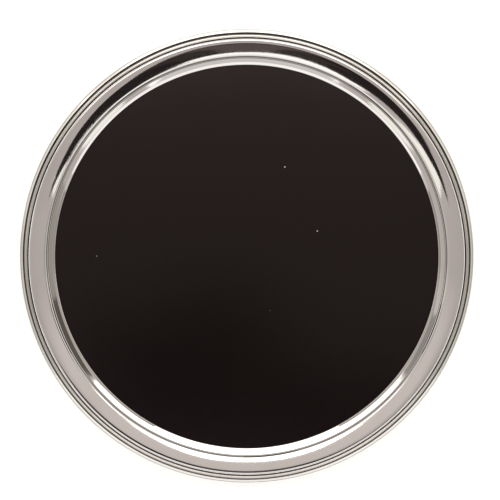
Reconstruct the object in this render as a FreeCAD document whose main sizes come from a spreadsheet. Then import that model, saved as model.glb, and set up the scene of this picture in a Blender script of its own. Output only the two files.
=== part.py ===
import FreeCAD, Part
import os

import Sketcher

# A round two-piece polish tin, open, standing in its own upturned lid.
# +Z is up, the origin is at the centre of the lid's foot, and all sizes are in millimetres.
# Every sheet-metal piece is a thin profile turned about the Z axis.

DIMENSIONS = {
    # tinplate
    "sheet": 0.25,
    # lid, upside down, as a saucer
    "lid_bore": 36.5,
    "lid_depth": 5.2,
    "lid_corner": 1.3,
    "lid_foot_inner": 31.0,
    "lid_panel_lift": 0.6,
    "lid_curl_radius": 0.4,
    "lid_curl_centre": 36.95,
    # where the tin stands in the lid
    "stand_gap": 0.1,
    # pan
    "pan_radius": 35.95,
    "pan_rim_height": 17.0,
    "pan_heel_inner": 32.3,
    "pan_floor_lift": 0.7,
    "pan_corner": 1.3,
    "pan_curl_radius": 0.3,
    "pan_curl_centre": 36.0,
    "bead_foot": 11.2,
    "bead_under": 12.1,
    "bead_crest": 13.0,
    "bead_seat": 12.6,
    "bead_reach": 1.45,
    "bead_blend": 0.22,
    # collar
    "collar_gap": 0.2,
    "collar_top": 18.0,
    "collar_foot": 14.8,
    "band_outer": 34.95,
    "band_inner": 33.0,
    "band_drop": 0.3,
    "neck_radius": 32.5,
    "neck_foot": 16.9,
    "mouth_radius": 31.3,
    "mouth_height": 16.62,
    "collar_edge_round": 0.5,
    "collar_blend": 0.3,
    # polish
    "wax_top": 16.15,
    "wax_gap": 0.05,
    "wax_corner": 0.9,
    "step_width": 0.8,
    "step_blend": 0.4,
}

os.makedirs("parts", exist_ok=True)
doc = FreeCAD.newDocument("PolishTin")

sheet = doc.addObject("Spreadsheet::Sheet", "Dims")
for row, (alias, value) in enumerate(DIMENSIONS.items(), start=1):
    sheet.set(f"A{row}", alias)
    sheet.set(f"B{row}", str(value))
    sheet.setAlias(f"B{row}", alias)
doc.recompute()


# A coordinate is a list of dimension names, each added, or taken away when it starts with a minus.

def number(terms):
    """The coordinate's value in millimetres."""
    return sum(-DIMENSIONS[t[1:]] if t.startswith("-") else DIMENSIONS[t] for t in terms)


def formula(terms):
    """The same coordinate as an expression on the dimension sheet."""
    return " ".join("- Dims." + t[1:] if t.startswith("-") else "+ Dims." + t for t in terms)[2:]


def origin_plane(body, role):
    """One of the body's own origin planes."""
    return next(f for f in body.Origin.OriginFeatures if f.Role == role)


def section_sketch(body, name):
    """An empty sketch in the body's XZ plane: sketch X is the radius, sketch Y the height."""
    sketch = body.newObject("Sketcher::SketchObject", name)
    sketch.AttachmentSupport = (origin_plane(body, "XZ_Plane"), [""])
    sketch.MapMode = "FlatFace"
    return sketch


def pin(sketch, kind, line, terms):
    """Hold the start of a line at a radius (DistanceX) or a height (DistanceY)."""
    if not terms:
        axis = -2 if kind == "DistanceX" else -1
        sketch.addConstraint(Sketcher.Constraint("PointOnObject", line, 1, axis))
        return
    place = sketch.addConstraint(Sketcher.Constraint(kind, -1, 1, line, 1, number(terms)))
    sketch.setExpression(f"Constraints[{place}]", formula(terms))


def turn(body, sketch):
    """Turn a sketch once round the Z axis and make it the body's tip."""
    turned = body.newObject("PartDesign::Revolution", sketch.Name + "Turned")
    turned.Profile = sketch
    turned.ReferenceAxis = (sketch, ["V_Axis"])
    turned.Angle = 360.0
    sketch.Visibility = False
    body.Tip = turned
    doc.recompute()
    return turned


def turned_outline(body, name, corners):
    """Turn a closed outline of (radius, height) corners, joined by straight lines."""
    sketch = section_sketch(body, name)
    points = [FreeCAD.Vector(number(radius), number(height), 0) for radius, height in corners]
    for start, end in zip(points, points[1:] + points[:1]):
        sketch.addGeometry(Part.LineSegment(start, end), False)
    count = len(corners)
    for line in range(count):
        sketch.addConstraint(Sketcher.Constraint("Coincident", line, 2, (line + 1) % count, 1))
    for line, (radius, height) in enumerate(corners):
        pin(sketch, "DistanceX", line, radius)
        pin(sketch, "DistanceY", line, height)
    return turn(body, sketch)


def turned_curl(body, name, centre_radius, centre_height, wire_radius):
    """Turn a round section: the rolled edge of the sheet."""
    sketch = section_sketch(body, name)
    centre = FreeCAD.Vector(number(centre_radius), number(centre_height), 0)
    circle = Part.Circle(centre, FreeCAD.Vector(0, 0, 1), number(wire_radius))
    sketch.addGeometry(circle, False)
    for kind, terms in (("DistanceX", centre_radius), ("DistanceY", centre_height)):
        place = sketch.addConstraint(Sketcher.Constraint(kind, -1, 1, 0, 3, number(terms)))
        sketch.setExpression(f"Constraints[{place}]", formula(terms))
    place = sketch.addConstraint(Sketcher.Constraint("Radius", 0, number(wire_radius)))
    sketch.setExpression(f"Constraints[{place}]", formula(wire_radius))
    return turn(body, sketch)


def round_corners(body, name, corners, radius):
    """Fillet the circular edges that lie at these (radius, height) corners."""
    base = body.Tip
    wanted = [(number(r), number(z)) for r, z in corners]
    edges = []
    for index, edge in enumerate(base.Shape.Edges, start=1):
        if not isinstance(edge.Curve, Part.Circle):
            continue
        place = (edge.Curve.Radius, edge.Curve.Center.z)
        if any(abs(place[0] - r) < 1e-4 and abs(place[1] - z) < 1e-4 for r, z in wanted):
            edges.append(f"Edge{index}")
    if len(edges) != len(wanted):
        raise RuntimeError(f"{name}: found {len(edges)} of {len(wanted)} edges")
    fillet = body.newObject("PartDesign::Fillet", name)
    fillet.Base = (base, edges)
    fillet.setExpression("Radius", formula(radius))
    body.Tip = fillet
    doc.recompute()


def new_body(label):
    """A body whose label names its file, placed at the common origin."""
    body = doc.addObject("PartDesign::Body", label)
    body.Label = label
    body.Placement = FreeCAD.Placement()
    return body


def make_lid():
    """The lid, upside down: panel below, skirt up, its edge curled outward."""
    lid = new_body("lid")
    skirt_inner = ["lid_bore"]
    skirt_outer = ["lid_bore", "sheet"]
    foot_inner = ["lid_foot_inner"]
    panel_edge = ["lid_foot_inner", "-step_width"]
    skirt_top = ["lid_depth", "-lid_curl_radius"]
    lift = ["lid_panel_lift"]
    corners = [
        ([], lift),
        (panel_edge, lift),
        (foot_inner, []),
        (skirt_outer, []),
        (skirt_outer, skirt_top),
        (skirt_inner, skirt_top),
        (skirt_inner, ["sheet"]),
        (foot_inner, ["sheet"]),
        (panel_edge, lift + ["sheet"]),
        ([], lift + ["sheet"]),
    ]
    turned_outline(lid, "LidSection", corners)
    round_corners(lid, "LidHeel", [corners[3]], ["lid_corner"])
    round_corners(lid, "LidHeelInside", [corners[6]], ["lid_corner", "-sheet"])
    steps = [corners[1], corners[2], corners[7], corners[8]]
    round_corners(lid, "LidSteps", steps, ["step_blend"])
    turned_curl(lid, "LidCurl", ["lid_curl_centre"], skirt_top, ["lid_curl_radius"])
    return lid


def make_pan():
    """The drawn cup that holds the polish: raised floor, shoulder bead round the wall, curled rim."""
    pan = new_body("base_pan")
    under = ["sheet", "stand_gap"]
    floor_under = under + ["pan_floor_lift"]
    inner = ["pan_radius", "-sheet"]
    outer = ["pan_radius"]
    heel_inner = ["pan_heel_inner"]
    floor_edge = ["pan_heel_inner", "-step_width"]
    wall_top = ["pan_rim_height", "-pan_curl_radius"]
    corners = [
        ([], floor_under),
        (floor_edge, floor_under),
        (heel_inner, under),
        (outer, under),
        (outer, ["bead_foot"]),
        (outer + ["bead_reach"], ["bead_under"]),
        (outer + ["bead_reach"], ["bead_crest"]),
        (outer, ["bead_seat"]),
        (outer, wall_top),
        (inner, wall_top),
        (inner, ["bead_seat", "-sheet"]),
        (inner + ["bead_reach"], ["bead_crest", "-sheet"]),
        (inner + ["bead_reach"], ["bead_under", "sheet"]),
        (inner, ["bead_foot", "sheet"]),
        (inner, under + ["sheet"]),
        (heel_inner, under + ["sheet"]),
        (floor_edge, floor_under + ["sheet"]),
        ([], floor_under + ["sheet"]),
    ]
    turned_outline(pan, "PanSection", corners)
    round_corners(pan, "PanHeel", [corners[3]], ["pan_corner"])
    round_corners(pan, "PanHeelInside", [corners[14]], ["pan_corner", "-sheet"])
    round_corners(pan, "PanBead", corners[4:8], ["bead_blend"])
    steps = [corners[1], corners[2], corners[15], corners[16]]
    round_corners(pan, "PanSteps", steps, ["step_blend"])
    turned_curl(pan, "PanCurl", ["pan_curl_centre"], wall_top, ["pan_curl_radius"])
    return pan


def make_collar():
    """The pressed ring in the pan's mouth: skirt, flat band, neck and inner ledge."""
    collar = new_body("rim_collar")
    outer = ["pan_radius", "-sheet", "-collar_gap"]
    inner = outer + ["-sheet"]
    band_low = ["collar_top", "-band_drop"]
    corners = [
        (outer, ["collar_foot"]),
        (outer, ["collar_top"]),
        (["band_outer"], ["collar_top"]),
        (["band_inner"], band_low),
        (["neck_radius"], band_low),
        (["neck_radius"], ["neck_foot"]),
        (["mouth_radius"], ["mouth_height"]),
        (["mouth_radius"], ["mouth_height", "-sheet"]),
        (["neck_radius", "sheet"], ["neck_foot", "-sheet"]),
        (["neck_radius", "sheet"], band_low + ["-sheet"]),
        (["band_inner"], band_low + ["-sheet"]),
        (["band_outer"], ["collar_top", "-sheet"]),
        (inner, ["collar_top", "-sheet"]),
        (inner, ["collar_foot"]),
    ]
    turned_outline(collar, "CollarSection", corners)
    round_corners(collar, "CollarShoulder", [corners[1]], ["collar_edge_round"])
    round_corners(collar, "CollarShoulderInside", [corners[12]], ["collar_edge_round", "-sheet"])
    round_corners(collar, "CollarNeck", [corners[4], corners[8]], ["collar_blend"])
    return collar


def make_wax():
    """The cake of polish, poured into the pan and up inside the collar to just under its ledge."""
    wax = new_body("wax_cake")
    heel_floor = ["sheet", "sheet", "stand_gap", "wax_gap"]
    floor = heel_floor + ["pan_floor_lift"]
    wall = ["pan_radius", "-sheet", "-wax_gap"]
    in_collar = wall + ["-collar_gap", "-sheet"]
    step = ["collar_foot", "-wax_gap"]
    corners = [
        ([], floor),
        (["pan_heel_inner", "-step_width"], floor),
        (["pan_heel_inner"], heel_floor),
        (wall, heel_floor),
        (wall, step),
        (in_collar, step),
        (in_collar, ["wax_top"]),
        ([], ["wax_top"]),
    ]
    turned_outline(wax, "WaxSection", corners)
    round_corners(wax, "WaxHeel", [corners[3]], ["wax_corner"])
    return wax


bodies = [make_lid(), make_pan(), make_collar(), make_wax()]
doc.recompute()

for item in doc.Objects:
    if "Invalid" in item.State or "Error" in item.State:
        raise RuntimeError(f"{item.Label} failed: {item.State}")

for body in bodies:
    shape = body.Shape
    if shape.isNull() or not shape.isValid() or len(shape.Solids) != 1:
        raise RuntimeError(f"{body.Label} is not one valid solid")
    shape.exportStep(f"parts/{body.Label}.step")
    box = shape.optimalBoundingBox()
    size = f"{box.XLength:.2f} x {box.YLength:.2f} x {box.ZLength:.2f} mm"
    print(f"{body.Label}: {size}, z {box.ZMin:.2f} to {box.ZMax:.2f}, {shape.Volume:.1f} mm3")
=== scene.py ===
from math import atan2, cos, exp, pi, radians, sin, tan

import bmesh
import bpy
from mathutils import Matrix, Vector


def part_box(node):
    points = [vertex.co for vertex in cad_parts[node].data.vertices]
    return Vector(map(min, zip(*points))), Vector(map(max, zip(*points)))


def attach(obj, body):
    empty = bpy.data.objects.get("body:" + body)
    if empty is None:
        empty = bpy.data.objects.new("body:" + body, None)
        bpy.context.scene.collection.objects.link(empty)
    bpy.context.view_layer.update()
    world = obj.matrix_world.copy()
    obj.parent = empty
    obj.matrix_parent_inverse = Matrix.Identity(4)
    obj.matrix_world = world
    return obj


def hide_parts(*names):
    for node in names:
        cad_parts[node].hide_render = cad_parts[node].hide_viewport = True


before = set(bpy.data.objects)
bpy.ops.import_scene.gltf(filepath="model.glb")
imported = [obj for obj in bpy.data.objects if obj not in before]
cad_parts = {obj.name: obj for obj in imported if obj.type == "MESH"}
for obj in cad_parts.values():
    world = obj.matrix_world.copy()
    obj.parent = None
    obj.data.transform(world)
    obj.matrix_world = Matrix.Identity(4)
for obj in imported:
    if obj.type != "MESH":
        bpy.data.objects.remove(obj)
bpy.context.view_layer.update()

MM = 0.001
TURNS = 320             # segments round each turned piece

# The pieces' boxes in the frame, in millimetres.
LID_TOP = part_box("lid")[1][2] / MM
LID_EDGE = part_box("lid")[1][0] / MM
RIM_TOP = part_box("base_pan")[1][2] / MM
PAN_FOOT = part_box("base_pan")[0][2] / MM
BEAD_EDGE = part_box("base_pan")[1][0] / MM
COLLAR_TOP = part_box("rim_collar")[1][2] / MM
COLLAR_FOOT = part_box("rim_collar")[0][2] / MM
COLLAR_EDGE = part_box("rim_collar")[1][0] / MM
WAX_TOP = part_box("wax_cake")[1][2] / MM
WAX_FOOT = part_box("wax_cake")[0][2] / MM
WAX_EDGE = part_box("wax_cake")[1][0] / MM

# Sizes that the boxes don't give, in millimetres. Paths run along the middle of the sheet.
SHEET = 0.25            # tinplate thickness
HALF = SHEET / 2
STEP_BEND = 0.45        # bend radius of the panel's and the floor's steps
HEEL_BEND = 1.18        # bend radius between a foot and its wall

LID_PANEL_LIFT = 0.6    # the lid's panel above its foot ring
LID_PANEL_EDGE = 30.2
LID_FOOT_INNER = 31.0
LID_WALL_INSET = 0.725  # from the curl's outside to the wall
LID_CURL = 0.275
CURL_CLEARANCE = 0.02   # the lid's curl below its box's top

PAN_WALL = 35.95        # outside of the pan's wall
PAN_FLOOR_LIFT = 0.7    # the pan's floor above its heel
PAN_FLOOR_EDGE = 31.5
PAN_HEEL_INNER = 32.3
PAN_CURL = 0.175
BEAD_FOOT = 11.25       # heights round the bead, from its foot to where it meets the wall again
BEAD_LOW = 12.15
BEAD_HIGH = 12.80
BEAD_CREST = 12.90
BEAD_SEAT = 12.05
BEAD_CREST_RADIUS = 36.78

SHOULDER_INSET = 0.18   # from the collar's skirt to where its band starts
BAND_INNER = 33.15
BAND_SLOPE = 11.0       # the band's last slope, in degrees
BAND_BUILD_UP = 0.60    # how far in the slope takes to build up
NECK_TOP_RADIUS = 32.68
NECK_TOP_DROP = 0.09    # below the band's inner end
NECK_RADIUS = 32.50
NECK_FOOT = 16.74
LEDGE_RADIUS = 31.75
LEDGE_HEIGHT = 16.58
MOUTH_RADIUS = 31.40
MOUTH_HEIGHT = 16.44

WAX_RISE = 0.25         # how far the polish domes
WAX_GAP = 0.05          # between the polish and the collar
WAX_CORNER = 0.9


# ---------------------------------------------------------------- outlines

def bend(corners, steps=10):
    """Points along a path of (radius, height, bend radius) corners, each corner rounded by an arc."""
    points = [Vector(corners[0][:2])]
    for before, corner, after in zip(corners, corners[1:], corners[2:]):
        here = Vector(corner[:2])
        to_before = (Vector(before[:2]) - here).normalized()
        to_after = (Vector(after[:2]) - here).normalized()
        half = to_before.angle(to_after) / 2
        if corner[2] <= 0 or half > pi / 2 - 1e-3:
            points.append(here)
            continue
        reach = corner[2] / tan(half)
        centre = here + (to_before + to_after).normalized() * (corner[2] / sin(half))
        start = here + to_before * reach - centre
        swing = start.angle_signed(here + to_after * reach - centre)
        for step in range(steps + 1):
            turn = -swing * step / steps
            spoke = Vector((start.x * cos(turn) - start.y * sin(turn),
                            start.x * sin(turn) + start.y * cos(turn)))
            points.append(centre + spoke)
    points.append(Vector(corners[-1][:2]))
    return hold_ends(points)


def hold_ends(points, shortest=0.3, hold=0.04):
    """Give each long straight run a point near both its ends, which keeps its shading flat."""
    held = [points[0]]
    for here, after in zip(points, points[1:]):
        run = after - here
        if run.length > shortest:
            held += [here + run.normalized() * hold, after - run.normalized() * hold]
        held.append(after)
    return held


def arc(centre, radius, first, last, steps):
    """Points on a circle from one angle to another, in degrees."""
    spread = [radians(first + (last - first) * k / steps) for k in range(steps + 1)]
    return [Vector((centre[0] + radius * cos(a), centre[1] + radius * sin(a))) for a in spread]


def thicken(path, thickness, steps=6):
    """Closed outline of a sheet that follows the path, its free ends rounded."""
    half = thickness / 2
    normals = []
    for k, point in enumerate(path):
        along = path[min(k + 1, len(path) - 1)] - path[max(k - 1, 0)]
        along.normalize()
        normals.append(Vector((-along.y, along.x)))
    left = [p + n * half for p, n in zip(path, normals)]
    right = [p - n * half for p, n in zip(path, normals)]
    if path[0].x < 1e-6:
        for point in (left[0], right[0]):
            point.x = 0.0
        start = []
    else:
        start = end_cap(path[0], -normals[0], half, steps)
    return left + end_cap(path[-1], normals[-1], half, steps) + right[::-1] + start


def end_cap(point, normal, half, steps):
    """A half circle from the normal's side to the other, going clockwise."""
    first = atan2(normal.y, normal.x)
    angles = [first - pi * k / steps for k in range(1, steps)]
    return [point + Vector((cos(a), sin(a))) * half for a in angles]


def turned(name, outline, closed=True):
    """A mesh turned round Z from an outline in millimetres, as a smooth object."""
    mesh = bpy.data.meshes.new(name)
    bm = bmesh.new()
    rings = []
    for point in outline:
        if abs(point.x) < 1e-6:
            rings.append([bm.verts.new((0, 0, point.y * MM))])
            continue
        ring = []
        for k in range(TURNS):
            a = 2 * pi * k / TURNS
            ring.append(bm.verts.new((point.x * cos(a) * MM, point.x * sin(a) * MM, point.y * MM)))
        rings.append(ring)
    pairs = list(zip(rings, rings[1:]))
    if closed:
        pairs.append((rings[-1], rings[0]))
    for one, two in pairs:
        if len(one) == 1 and len(two) == 1:
            continue
        for k in range(TURNS):
            n = (k + 1) % TURNS
            corners = [one[k % len(one)], one[n % len(one)], two[n % len(two)], two[k % len(two)]]
            bm.faces.new(list(dict.fromkeys(corners)))
    bmesh.ops.recalc_face_normals(bm, faces=bm.faces)
    bm.to_mesh(mesh)
    bm.free()
    for polygon in mesh.polygons:
        polygon.use_smooth = True
    piece = bpy.data.objects.new(name, mesh)
    bpy.context.scene.collection.objects.link(piece)
    return piece


# ---------------------------------------------------------------- materials

def node_material(name):
    """An empty node material with its Principled shader."""
    material = bpy.data.materials.new(name)
    material.use_nodes = True
    nodes = material.node_tree.nodes
    return material, nodes, material.node_tree.links, nodes["Principled BSDF"]


def noise(nodes, links, source, scale, detail, rough=0.5):
    """A noise texture on the given coordinates."""
    node = nodes.new("ShaderNodeTexNoise")
    node.inputs["Scale"].default_value = scale
    node.inputs["Detail"].default_value = detail
    node.inputs["Roughness"].default_value = rough
    links.new(source, node.inputs["Vector"])
    return node.outputs["Fac"]


def remap(nodes, links, source, low, high, to_low, to_high):
    """A clamped linear change of range."""
    node = nodes.new("ShaderNodeMapRange")
    for key, value in (("From Min", low), ("From Max", high), ("To Min", to_low), ("To Max", to_high)):
        node.inputs[key].default_value = value
    links.new(source, node.inputs["Value"])
    return node.outputs["Result"]


def blend_colour(nodes, links, factor, first, second):
    """A mix of two colours by a factor."""
    node = nodes.new("ShaderNodeMix")
    node.data_type = "RGBA"
    node.inputs["A"].default_value = (*first, 1)
    node.inputs["B"].default_value = (*second, 1)
    links.new(factor, node.inputs["Factor"])
    return node.outputs["Result"]


def bump(nodes, links, height, strength, distance, below=None):
    """A bump node, laid over another one where given."""
    node = nodes.new("ShaderNodeBump")
    node.inputs["Strength"].default_value = strength
    node.inputs["Distance"].default_value = distance
    links.new(height, node.inputs["Height"])
    if below is not None:
        links.new(below, node.inputs["Normal"])
    return node.outputs["Normal"]


def object_coordinates(nodes, links, scale=(1, 1, 1)):
    """Object coordinates, stretched."""
    coordinates = nodes.new("ShaderNodeTexCoord")
    mapping = nodes.new("ShaderNodeMapping")
    mapping.inputs["Scale"].default_value = scale
    links.new(coordinates.outputs["Object"], mapping.inputs["Vector"])
    return mapping.outputs["Vector"]


def multiply(nodes, links, first, second):
    """The product of two numbers."""
    node = nodes.new("ShaderNodeMath")
    node.operation = "MULTIPLY"
    links.new(first, node.inputs[0])
    links.new(second, node.inputs[1])
    return node.outputs[0]


def ring_mask(nodes, links, inner, outer, top, edge=0.06):
    """1 between two radii and below a height, in millimetres, with a soft edge."""
    length = nodes.new("ShaderNodeVectorMath")
    length.operation = "LENGTH"
    links.new(object_coordinates(nodes, links, (1, 1, 0)), length.inputs[0])
    radius = length.outputs["Value"]
    split = nodes.new("ShaderNodeSeparateXYZ")
    links.new(object_coordinates(nodes, links), split.inputs["Vector"])
    past = remap(nodes, links, radius, (inner - edge) * MM, inner * MM, 0.0, 1.0)
    within = remap(nodes, links, radius, outer * MM, (outer + edge) * MM, 1.0, 0.0)
    below = remap(nodes, links, split.outputs["Z"], (top - edge) * MM, top * MM, 1.0, 0.0)
    return multiply(nodes, links, multiply(nodes, links, past, within), below)


def paint_shade_ring(nodes, links, colour, mask, tint):
    """A colour blended to a constant one where the mask is 1: painted shade by ring."""
    node = nodes.new("ShaderNodeMix")
    node.data_type = "RGBA"
    node.inputs["B"].default_value = (*tint, 1)
    links.new(colour, node.inputs["A"])
    links.new(mask, node.inputs["Factor"])
    return node.outputs["Result"]


def tinplate(name, colour, dull, roughness, painted_shade_rings):
    """Bright tinplate: rolled grain, faint spangle, soft scuffs, tiny pits and darker rings of painted
    shade.
    """
    material, nodes, links, shader = node_material(name)
    shader.inputs["Metallic"].default_value = 1.0
    plain = object_coordinates(nodes, links)
    grain = object_coordinates(nodes, links, (1.0, 0.08, 1.0))
    clouds = noise(nodes, links, plain, 90.0, 3.0)
    streaks = noise(nodes, links, grain, 5200.0, 2.0)
    fine = noise(nodes, links, plain, 3800.0, 2.0)
    tone = remap(nodes, links, clouds, 0.35, 0.7, 0.0, 1.0)
    shade = blend_colour(nodes, links, tone, colour, dull)
    for ring, tint in painted_shade_rings:
        shade = paint_shade_ring(nodes, links, shade, ring_mask(nodes, links, *ring), tint)
    links.new(shade, shader.inputs["Base Color"])
    rough = remap(nodes, links, streaks, 0.3, 0.75, roughness * 0.8, roughness * 1.35)
    links.new(rough, shader.inputs["Roughness"])
    ripple = bump(nodes, links, noise(nodes, links, plain, 140.0, 2.0), 0.02, 0.0002)
    surface = bump(nodes, links, fine, 0.025, 0.00002, ripple)
    links.new(surface, shader.inputs["Normal"])
    return material


def black_wax(name):
    """Semi-gloss black polish: fine grain, shallow waves and a few specks of dust."""
    material, nodes, links, shader = node_material(name)
    plain = object_coordinates(nodes, links)
    specks = nodes.new("ShaderNodeTexVoronoi")
    specks.inputs["Scale"].default_value = 260.0
    links.new(plain, specks.inputs["Vector"])
    near = remap(nodes, links, specks.outputs["Distance"], 0.022, 0.040, 1.0, 0.0)
    split = nodes.new("ShaderNodeSeparateColor")
    links.new(specks.outputs["Color"], split.inputs["Color"])
    chosen = remap(nodes, links, split.outputs["Red"], 0.55, 0.57, 0.0, 1.0)
    dust = multiply(nodes, links, near, chosen)
    links.new(blend_colour(nodes, links, dust, (0.0020, 0.0010, 0.0010), (0.30, 0.28, 0.27)),
              shader.inputs["Base Color"])
    grain = noise(nodes, links, plain, 2600.0, 3.0, 0.6)
    links.new(remap(nodes, links, grain, 0.3, 0.7, 0.14, 0.18), shader.inputs["Roughness"])
    shader.inputs["Specular IOR Level"].default_value = 0.31
    shader.inputs["Specular Tint"].default_value = (1.0, 0.86, 0.86, 1.0)
    waves = bump(nodes, links, noise(nodes, links, plain, 120.0, 2.0), 0.06, 0.0002)
    links.new(bump(nodes, links, grain, 0.06, 0.00002, waves), shader.inputs["Normal"])
    return material


# ---------------------------------------------------------------- pieces

def make_lid():
    """The lid, upside down: recessed panel, foot ring, skirt and outward curl."""
    wall = LID_EDGE - LID_WALL_INSET
    panel = LID_PANEL_LIFT + HALF
    curl_height = LID_TOP - LID_CURL - HALF - CURL_CLEARANCE
    path = bend([(0, panel, 0), (LID_PANEL_EDGE, panel, STEP_BEND), (LID_FOOT_INNER, HALF, STEP_BEND),
                 (wall, HALF, HEEL_BEND), (wall, curl_height, 0)], 12)
    path += arc((wall + LID_CURL, curl_height), LID_CURL, 180, -140, 36)[1:]
    piece = turned("lid_shell", thicken(path, SHEET))
    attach(piece, "lid")
    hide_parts("lid")
    return piece


def make_pan():
    """The pan: raised floor, heel, beaded wall and rolled rim."""
    wall = PAN_WALL - HALF
    heel = PAN_FOOT + HALF
    floor = heel + PAN_FLOOR_LIFT
    bead = BEAD_EDGE - HALF
    curl_height = RIM_TOP - PAN_CURL - HALF
    path = bend([(0, floor, 0), (PAN_FLOOR_EDGE, floor, STEP_BEND), (PAN_HEEL_INNER, heel, STEP_BEND),
                 (wall, heel, HEEL_BEND), (wall, BEAD_FOOT, 0.30), (bead, BEAD_LOW, 0.30),
                 (bead, BEAD_HIGH, 0.16), (BEAD_CREST_RADIUS, BEAD_CREST, 0.14), (wall, BEAD_SEAT, 0.19),
                 (wall, curl_height, 0)], 8)
    path += arc((wall + PAN_CURL, curl_height), PAN_CURL, 180, -140, 28)[1:]
    piece = turned("pan_shell", thicken(path, SHEET))
    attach(piece, "tin")
    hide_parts("base_pan")
    return piece


def band_path(outer, top, steps=20):
    """The collar's crowned band, from its level outer edge inward to a steady slope."""
    points = []
    height = top
    width = (outer - BAND_INNER) / steps
    for k in range(steps + 1):
        points.append((outer - width * k, height, 0))
        slope = BAND_SLOPE * (1 - exp(-width * (k + 0.5) / BAND_BUILD_UP))
        height -= tan(radians(slope)) * width
    return points


def make_collar():
    """The pressed collar: skirt, rounded shoulder, crowned band, neck and sloping ledge."""
    skirt = COLLAR_EDGE - HALF
    top = COLLAR_TOP - HALF
    band = band_path(skirt - SHOULDER_INSET, top)
    corners = [(skirt, COLLAR_FOOT + HALF + 0.005, 0), (skirt, top, 0.17)] + band[1:-1]
    corners += [(NECK_TOP_RADIUS, band[-1][1] - NECK_TOP_DROP, 0.42), (NECK_RADIUS, NECK_FOOT, 0.15),
                (LEDGE_RADIUS, LEDGE_HEIGHT, 0.8), (MOUTH_RADIUS, MOUTH_HEIGHT, 0)]
    piece = turned("collar_ring", thicken(bend(corners, 10), SHEET))
    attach(piece, "tin")
    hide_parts("rim_collar")
    return piece


def make_wax():
    """The cake of polish, with a faintly domed top inside the collar's skirt."""
    rings = 24
    edge = COLLAR_EDGE - SHEET - WAX_GAP
    step = COLLAR_FOOT - WAX_GAP
    lifted = WAX_FOOT + PAN_FLOOR_LIFT
    outline = [Vector((edge * k / rings, WAX_TOP - WAX_RISE * (k / rings) ** 2)) for k in range(rings + 1)]
    outline += [Vector((edge, step)), Vector((WAX_EDGE, step)), Vector((WAX_EDGE, WAX_FOOT + WAX_CORNER)),
                Vector((WAX_EDGE - WAX_CORNER, WAX_FOOT)), Vector((PAN_HEEL_INNER, WAX_FOOT)),
                Vector((PAN_FLOOR_EDGE, lifted)), Vector((0, lifted))]
    piece = turned("wax_cake_surface", outline, closed=False)
    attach(piece, "tin")
    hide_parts("wax_cake")
    return piece


# ---------------------------------------------------------------- studio
# In metres and degrees. The cards show only in glossy reflections: the tinplate mirrors them.

FLOOR_SIZE = 6.0
CAMERA_DISTANCE = 0.420     # above the rolled rim
CAMERA_FOOT = 0.010         # how far beyond the tin's axis the camera stands
CAMERA_AIM = (0.00053, 0.00113)
FRAME_WIDTH = 0.0815        # what the picture's width covers at the rim
SENSOR_WIDTH = 36.0         # millimetres
RIM = RIM_TOP * MM

HORIZON = (1.0, 1.0, 1.0)
CEILING = (0.56, 0.51, 0.48)
# The world's colour by angle from straight up.
SKY = ((22, (0.60, 0.55, 0.52)), (26, (1.00, 0.97, 0.90)), (31, (0.45, 0.42, 0.37)),
       (43, (0.36, 0.34, 0.30)), (50, (1.0, 0.98, 0.90)), (60, (0.85, 0.83, 0.78)),
       (68, (0.30, 0.29, 0.27)), (82, (0.16, 0.15, 0.14)), (87, (0.75, 0.74, 0.72)))


def rectangle(left, right, front, back):
    """The four corners of a level rectangle."""
    return ((left, front), (right, front), (right, back), (left, back))


CAMERA_OUTLINE = ((-0.074, -0.020), (-0.043, -0.025), (-0.014, -0.011), (0.002, -0.011), (0.014, -0.031),
                  (0.030, -0.045), (0.050, -0.043), (0.067, -0.0386), (0.083, -0.025), (0.086, -0.048),
                  (0.056, -0.092), (0.0, -0.093), (-0.048, -0.082), (-0.074, -0.042))
WINDOW_OUTLINE = ((-0.100, 0.073), (-0.047, 0.081), (0.0, 0.0895), (0.047, 0.081), (0.090, 0.073),
                  (0.200, 0.185), (-0.200, 0.185))
# Overhead cards: name, outline, height above the camera, colour. Of two that overlap the lower one shows.
OVERHEAD_CARDS = (
    ("camera_body", CAMERA_OUTLINE, 0.003, (0.020, 0.016, 0.015)),
    ("camera_lens", rectangle(-0.011, 0.011, -0.089, -0.025), 0.001, (0.110, 0.090, 0.084)),
    ("camera_grip", rectangle(-0.030, 0.028, -0.085, -0.047), 0.002, (0.040, 0.032, 0.030)),
    ("window_card", WINDOW_OUTLINE, 0.004, (2.6, 2.4, 2.3)),
    ("white_edge", rectangle(-0.056, 0.060, -0.109, -0.075), 0.004, (1.35, 1.32, 1.28)),
    ("front_glow", rectangle(-0.300, 0.300, -0.140, -0.111), 0.005, (0.72, 0.70, 0.67)),
    ("front_card", rectangle(-0.300, 0.300, -0.415, -0.140), 0.004, (1.2, 1.18, 1.15)),
    ("left_strip", rectangle(-0.100, -0.073, -0.095, -0.030), 0.004, (1.1, 1.08, 1.0)),
    ("right_strip", rectangle(0.073, 0.100, -0.095, -0.030), 0.004, (1.1, 1.08, 1.0)),
    ("right_shade", rectangle(0.095, 0.200, 0.025, 0.092), 0.005, (0.12, 0.10, 0.09)),
    ("right_dusk", rectangle(0.100, 0.200, -0.045, 0.025), 0.005, (0.36, 0.34, 0.31)),
    ("left_dusk", rectangle(-0.200, -0.095, 0.035, 0.092), 0.005, (0.32, 0.30, 0.28)),
)
PANEL_BEARINGS = (20, 97, 160, 232, 305)
PANEL_WIDTH = 0.30
PANEL_HEIGHT = 0.34
PANEL_DISTANCE = 1.1
PANEL_COLOUR = (0.06, 0.058, 0.055)


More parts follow.
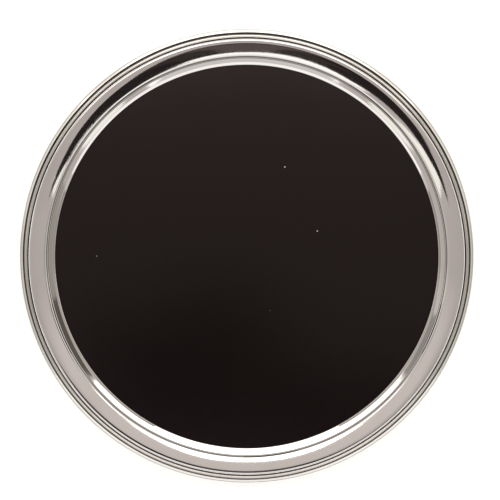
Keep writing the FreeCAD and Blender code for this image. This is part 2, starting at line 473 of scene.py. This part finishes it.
def make_floor():
    """A plain pale floor."""
    mesh = bpy.data.meshes.new("floor")
    side = FLOOR_SIZE / 2
    mesh.from_pydata([(-side, -side, 0), (side, -side, 0), (side, side, 0), (-side, side, 0)],
                     [], [(0, 1, 2, 3)])
    floor = bpy.data.objects.new("floor", mesh)
    bpy.context.scene.collection.objects.link(floor)
    material, nodes, links, shader = node_material("pale_floor")
    plain = object_coordinates(nodes, links)
    tone = noise(nodes, links, plain, 4.0, 2.0)
    links.new(blend_colour(nodes, links, tone, (0.90, 0.90, 0.90), (0.88, 0.88, 0.88)),
              shader.inputs["Base Color"])
    shader.inputs["Roughness"].default_value = 0.8
    mesh.materials.append(material)


def make_world():
    """Light from all round in level bands of SKY's colours, a little stronger from beyond the tin."""
    world = bpy.data.worlds.new("studio")
    bpy.context.scene.world = world
    world.use_nodes = True
    nodes, links = world.node_tree.nodes, world.node_tree.links
    background = nodes["Background"]
    coordinates = nodes.new("ShaderNodeTexCoord")
    split = nodes.new("ShaderNodeSeparateXYZ")
    links.new(coordinates.outputs["Generated"], split.inputs["Vector"])
    ramp = nodes.new("ShaderNodeValToRGB")
    links.new(split.outputs["Z"], ramp.inputs["Fac"])
    stops = ramp.color_ramp
    stops.elements[0].position = 0.0
    stops.elements[0].color = (*HORIZON, 1)
    stops.elements[1].position = 1.0
    stops.elements[1].color = (*CEILING, 1)
    for angle, colour in SKY:
        stop = stops.elements.new(cos(radians(angle)))
        stop.color = (*colour, 1)
    links.new(ramp.outputs["Color"], background.inputs["Color"])
    strength = remap(nodes, links, split.outputs["Y"], 0.0, 0.10, 0.92, 1.20)
    links.new(strength, background.inputs["Strength"])


def reflection_card(name, corners, colour):
    """A flat card that only reflections see."""
    mesh = bpy.data.meshes.new(name)
    mesh.from_pydata(corners, [], [tuple(range(len(corners)))])
    card = bpy.data.objects.new(name, mesh)
    bpy.context.scene.collection.objects.link(card)
    material = bpy.data.materials.new(name)
    material.use_nodes = True
    nodes = material.node_tree.nodes
    nodes.clear()
    glow = nodes.new("ShaderNodeEmission")
    glow.inputs["Color"].default_value = (*colour, 1)
    out = nodes.new("ShaderNodeOutputMaterial")
    material.node_tree.links.new(glow.outputs[0], out.inputs["Surface"])
    mesh.materials.append(material)
    card.visible_camera = False
    card.visible_diffuse = False
    card.visible_shadow = False


def make_overhead_card(name, outline, lift, colour):
    """A level card above the camera, its outline taken from the camera's mirror image across the axis."""
    height = RIM + CAMERA_DISTANCE + lift
    reflection_card(name, [(x, y - CAMERA_FOOT, height) for x, y in outline], colour)


def make_wall_panel(bearing):
    """A dark standing card that faces the tin from a bearing."""
    a = radians(bearing)
    middle = Vector((cos(a), sin(a), 0)) * PANEL_DISTANCE
    across = Vector((-sin(a), cos(a), 0)) * (PANEL_WIDTH / 2)
    up = Vector((0, 0, PANEL_HEIGHT))
    corners = [middle - across, middle + across, middle + across + up, middle - across + up]
    reflection_card(f"wall_panel_{bearing}", [tuple(c) for c in corners], PANEL_COLOUR)


def make_cards():
    """All the reflection cards."""
    for name, outline, lift, colour in OVERHEAD_CARDS:
        make_overhead_card(name, outline, lift, colour)
    for bearing in PANEL_BEARINGS:
        make_wall_panel(bearing)


def make_camera():
    """Almost straight above the tin, standing a little beyond its axis."""
    data = bpy.data.cameras.new("camera")
    camera = bpy.data.objects.new("camera", data)
    bpy.context.scene.collection.objects.link(camera)
    data.sensor_width = SENSOR_WIDTH
    data.lens = SENSOR_WIDTH * CAMERA_DISTANCE / FRAME_WIDTH
    camera.location = Vector((0.0, CAMERA_FOOT, RIM + CAMERA_DISTANCE))
    aim = Vector((*CAMERA_AIM, RIM)) - camera.location
    camera.rotation_euler = (atan2(aim.y, -aim.z), -atan2(aim.x, -aim.z), 0.0)
    bpy.context.scene.camera = camera


def soft_light(name, place, width, depth, energy, colour):
    """A rectangular area light that faces the origin."""
    data = bpy.data.lights.new(name, "AREA")
    data.shape = "RECTANGLE"
    data.size = width
    data.size_y = depth
    data.energy = energy
    data.color = colour
    light = bpy.data.objects.new(name, data)
    bpy.context.scene.collection.objects.link(light)
    light.location = place
    light.rotation_euler = (-light.location).to_track_quat("-Z", "Y").to_euler()
    return light


def make_lights():
    """A broad window beyond the tin, and an overhead fill that reflections don't see."""
    soft_light("window", (0.0, 0.62, 0.80), 0.62, 0.50, 1.6, (1.0, 0.99, 0.96))
    fill = soft_light("fill", (0.0, -0.05, 1.6), 2.4, 2.4, 44.0, (1.0, 1.0, 1.0))
    fill.visible_glossy = False


# ---------------------------------------------------------------- assembly

make_floor()
make_world()
make_lights()
make_camera()
make_cards()

# Painted shade by ring: darker walls, a dark groove under the rim and a dark crease at the collar's neck.
# (inner radius, outer radius, top) in millimetres, and its colour.
# The walls' colour is a darker copy of the rim's tinplate: painted shade that keeps the bright floor's
# reflection from washing them out.
WALL_SHADED_TIN = (0.55, 0.53, 0.50)
LOWER_WALL_SHADE = ((35.0, 38.0, 11.6), WALL_SHADED_TIN)
UPPER_WALL_SHADE = ((35.0, 36.05, 16.4), WALL_SHADED_TIN)
# Painted shadow: a near-black ring on the rim curl's outer edge and the bead's flank, the groove under the
# rim drawn as shaded.
UNDER_RIM_SHADOW = ((36.14, 36.83, 16.95), (0.070, 0.065, 0.060))
# Painted shade: a dark line in the crease at the foot of the collar's neck.
NECK_CREASE_SHADE = ((32.40, 32.50, 17.10), (0.12, 0.11, 0.10))

tin_bright = tinplate("tinplate_rim", (0.76, 0.73, 0.70), (0.69, 0.66, 0.63), 0.09,
                      [LOWER_WALL_SHADE, UPPER_WALL_SHADE, UNDER_RIM_SHADOW])
tin_satin = tinplate("tinplate_collar", (0.80, 0.775, 0.765), (0.75, 0.725, 0.715), 0.035, [NECK_CREASE_SHADE])
# The lid's tinplate is a darker copy of the pan's: painted shade that keeps the bright floor's reflection
# from washing out its walls.
tin_lid_shaded = tinplate("tinplate_lid_shaded", (0.58, 0.56, 0.53), (0.50, 0.48, 0.45), 0.16, [])

make_lid().data.materials.append(tin_lid_shaded)
make_pan().data.materials.append(tin_bright)
make_collar().data.materials.append(tin_satin)
make_wax().data.materials.append(black_wax("black_wax"))

bpy.context.scene.view_settings.view_transform = "Standard"
bpy.context.scene.view_settings.look = "None"
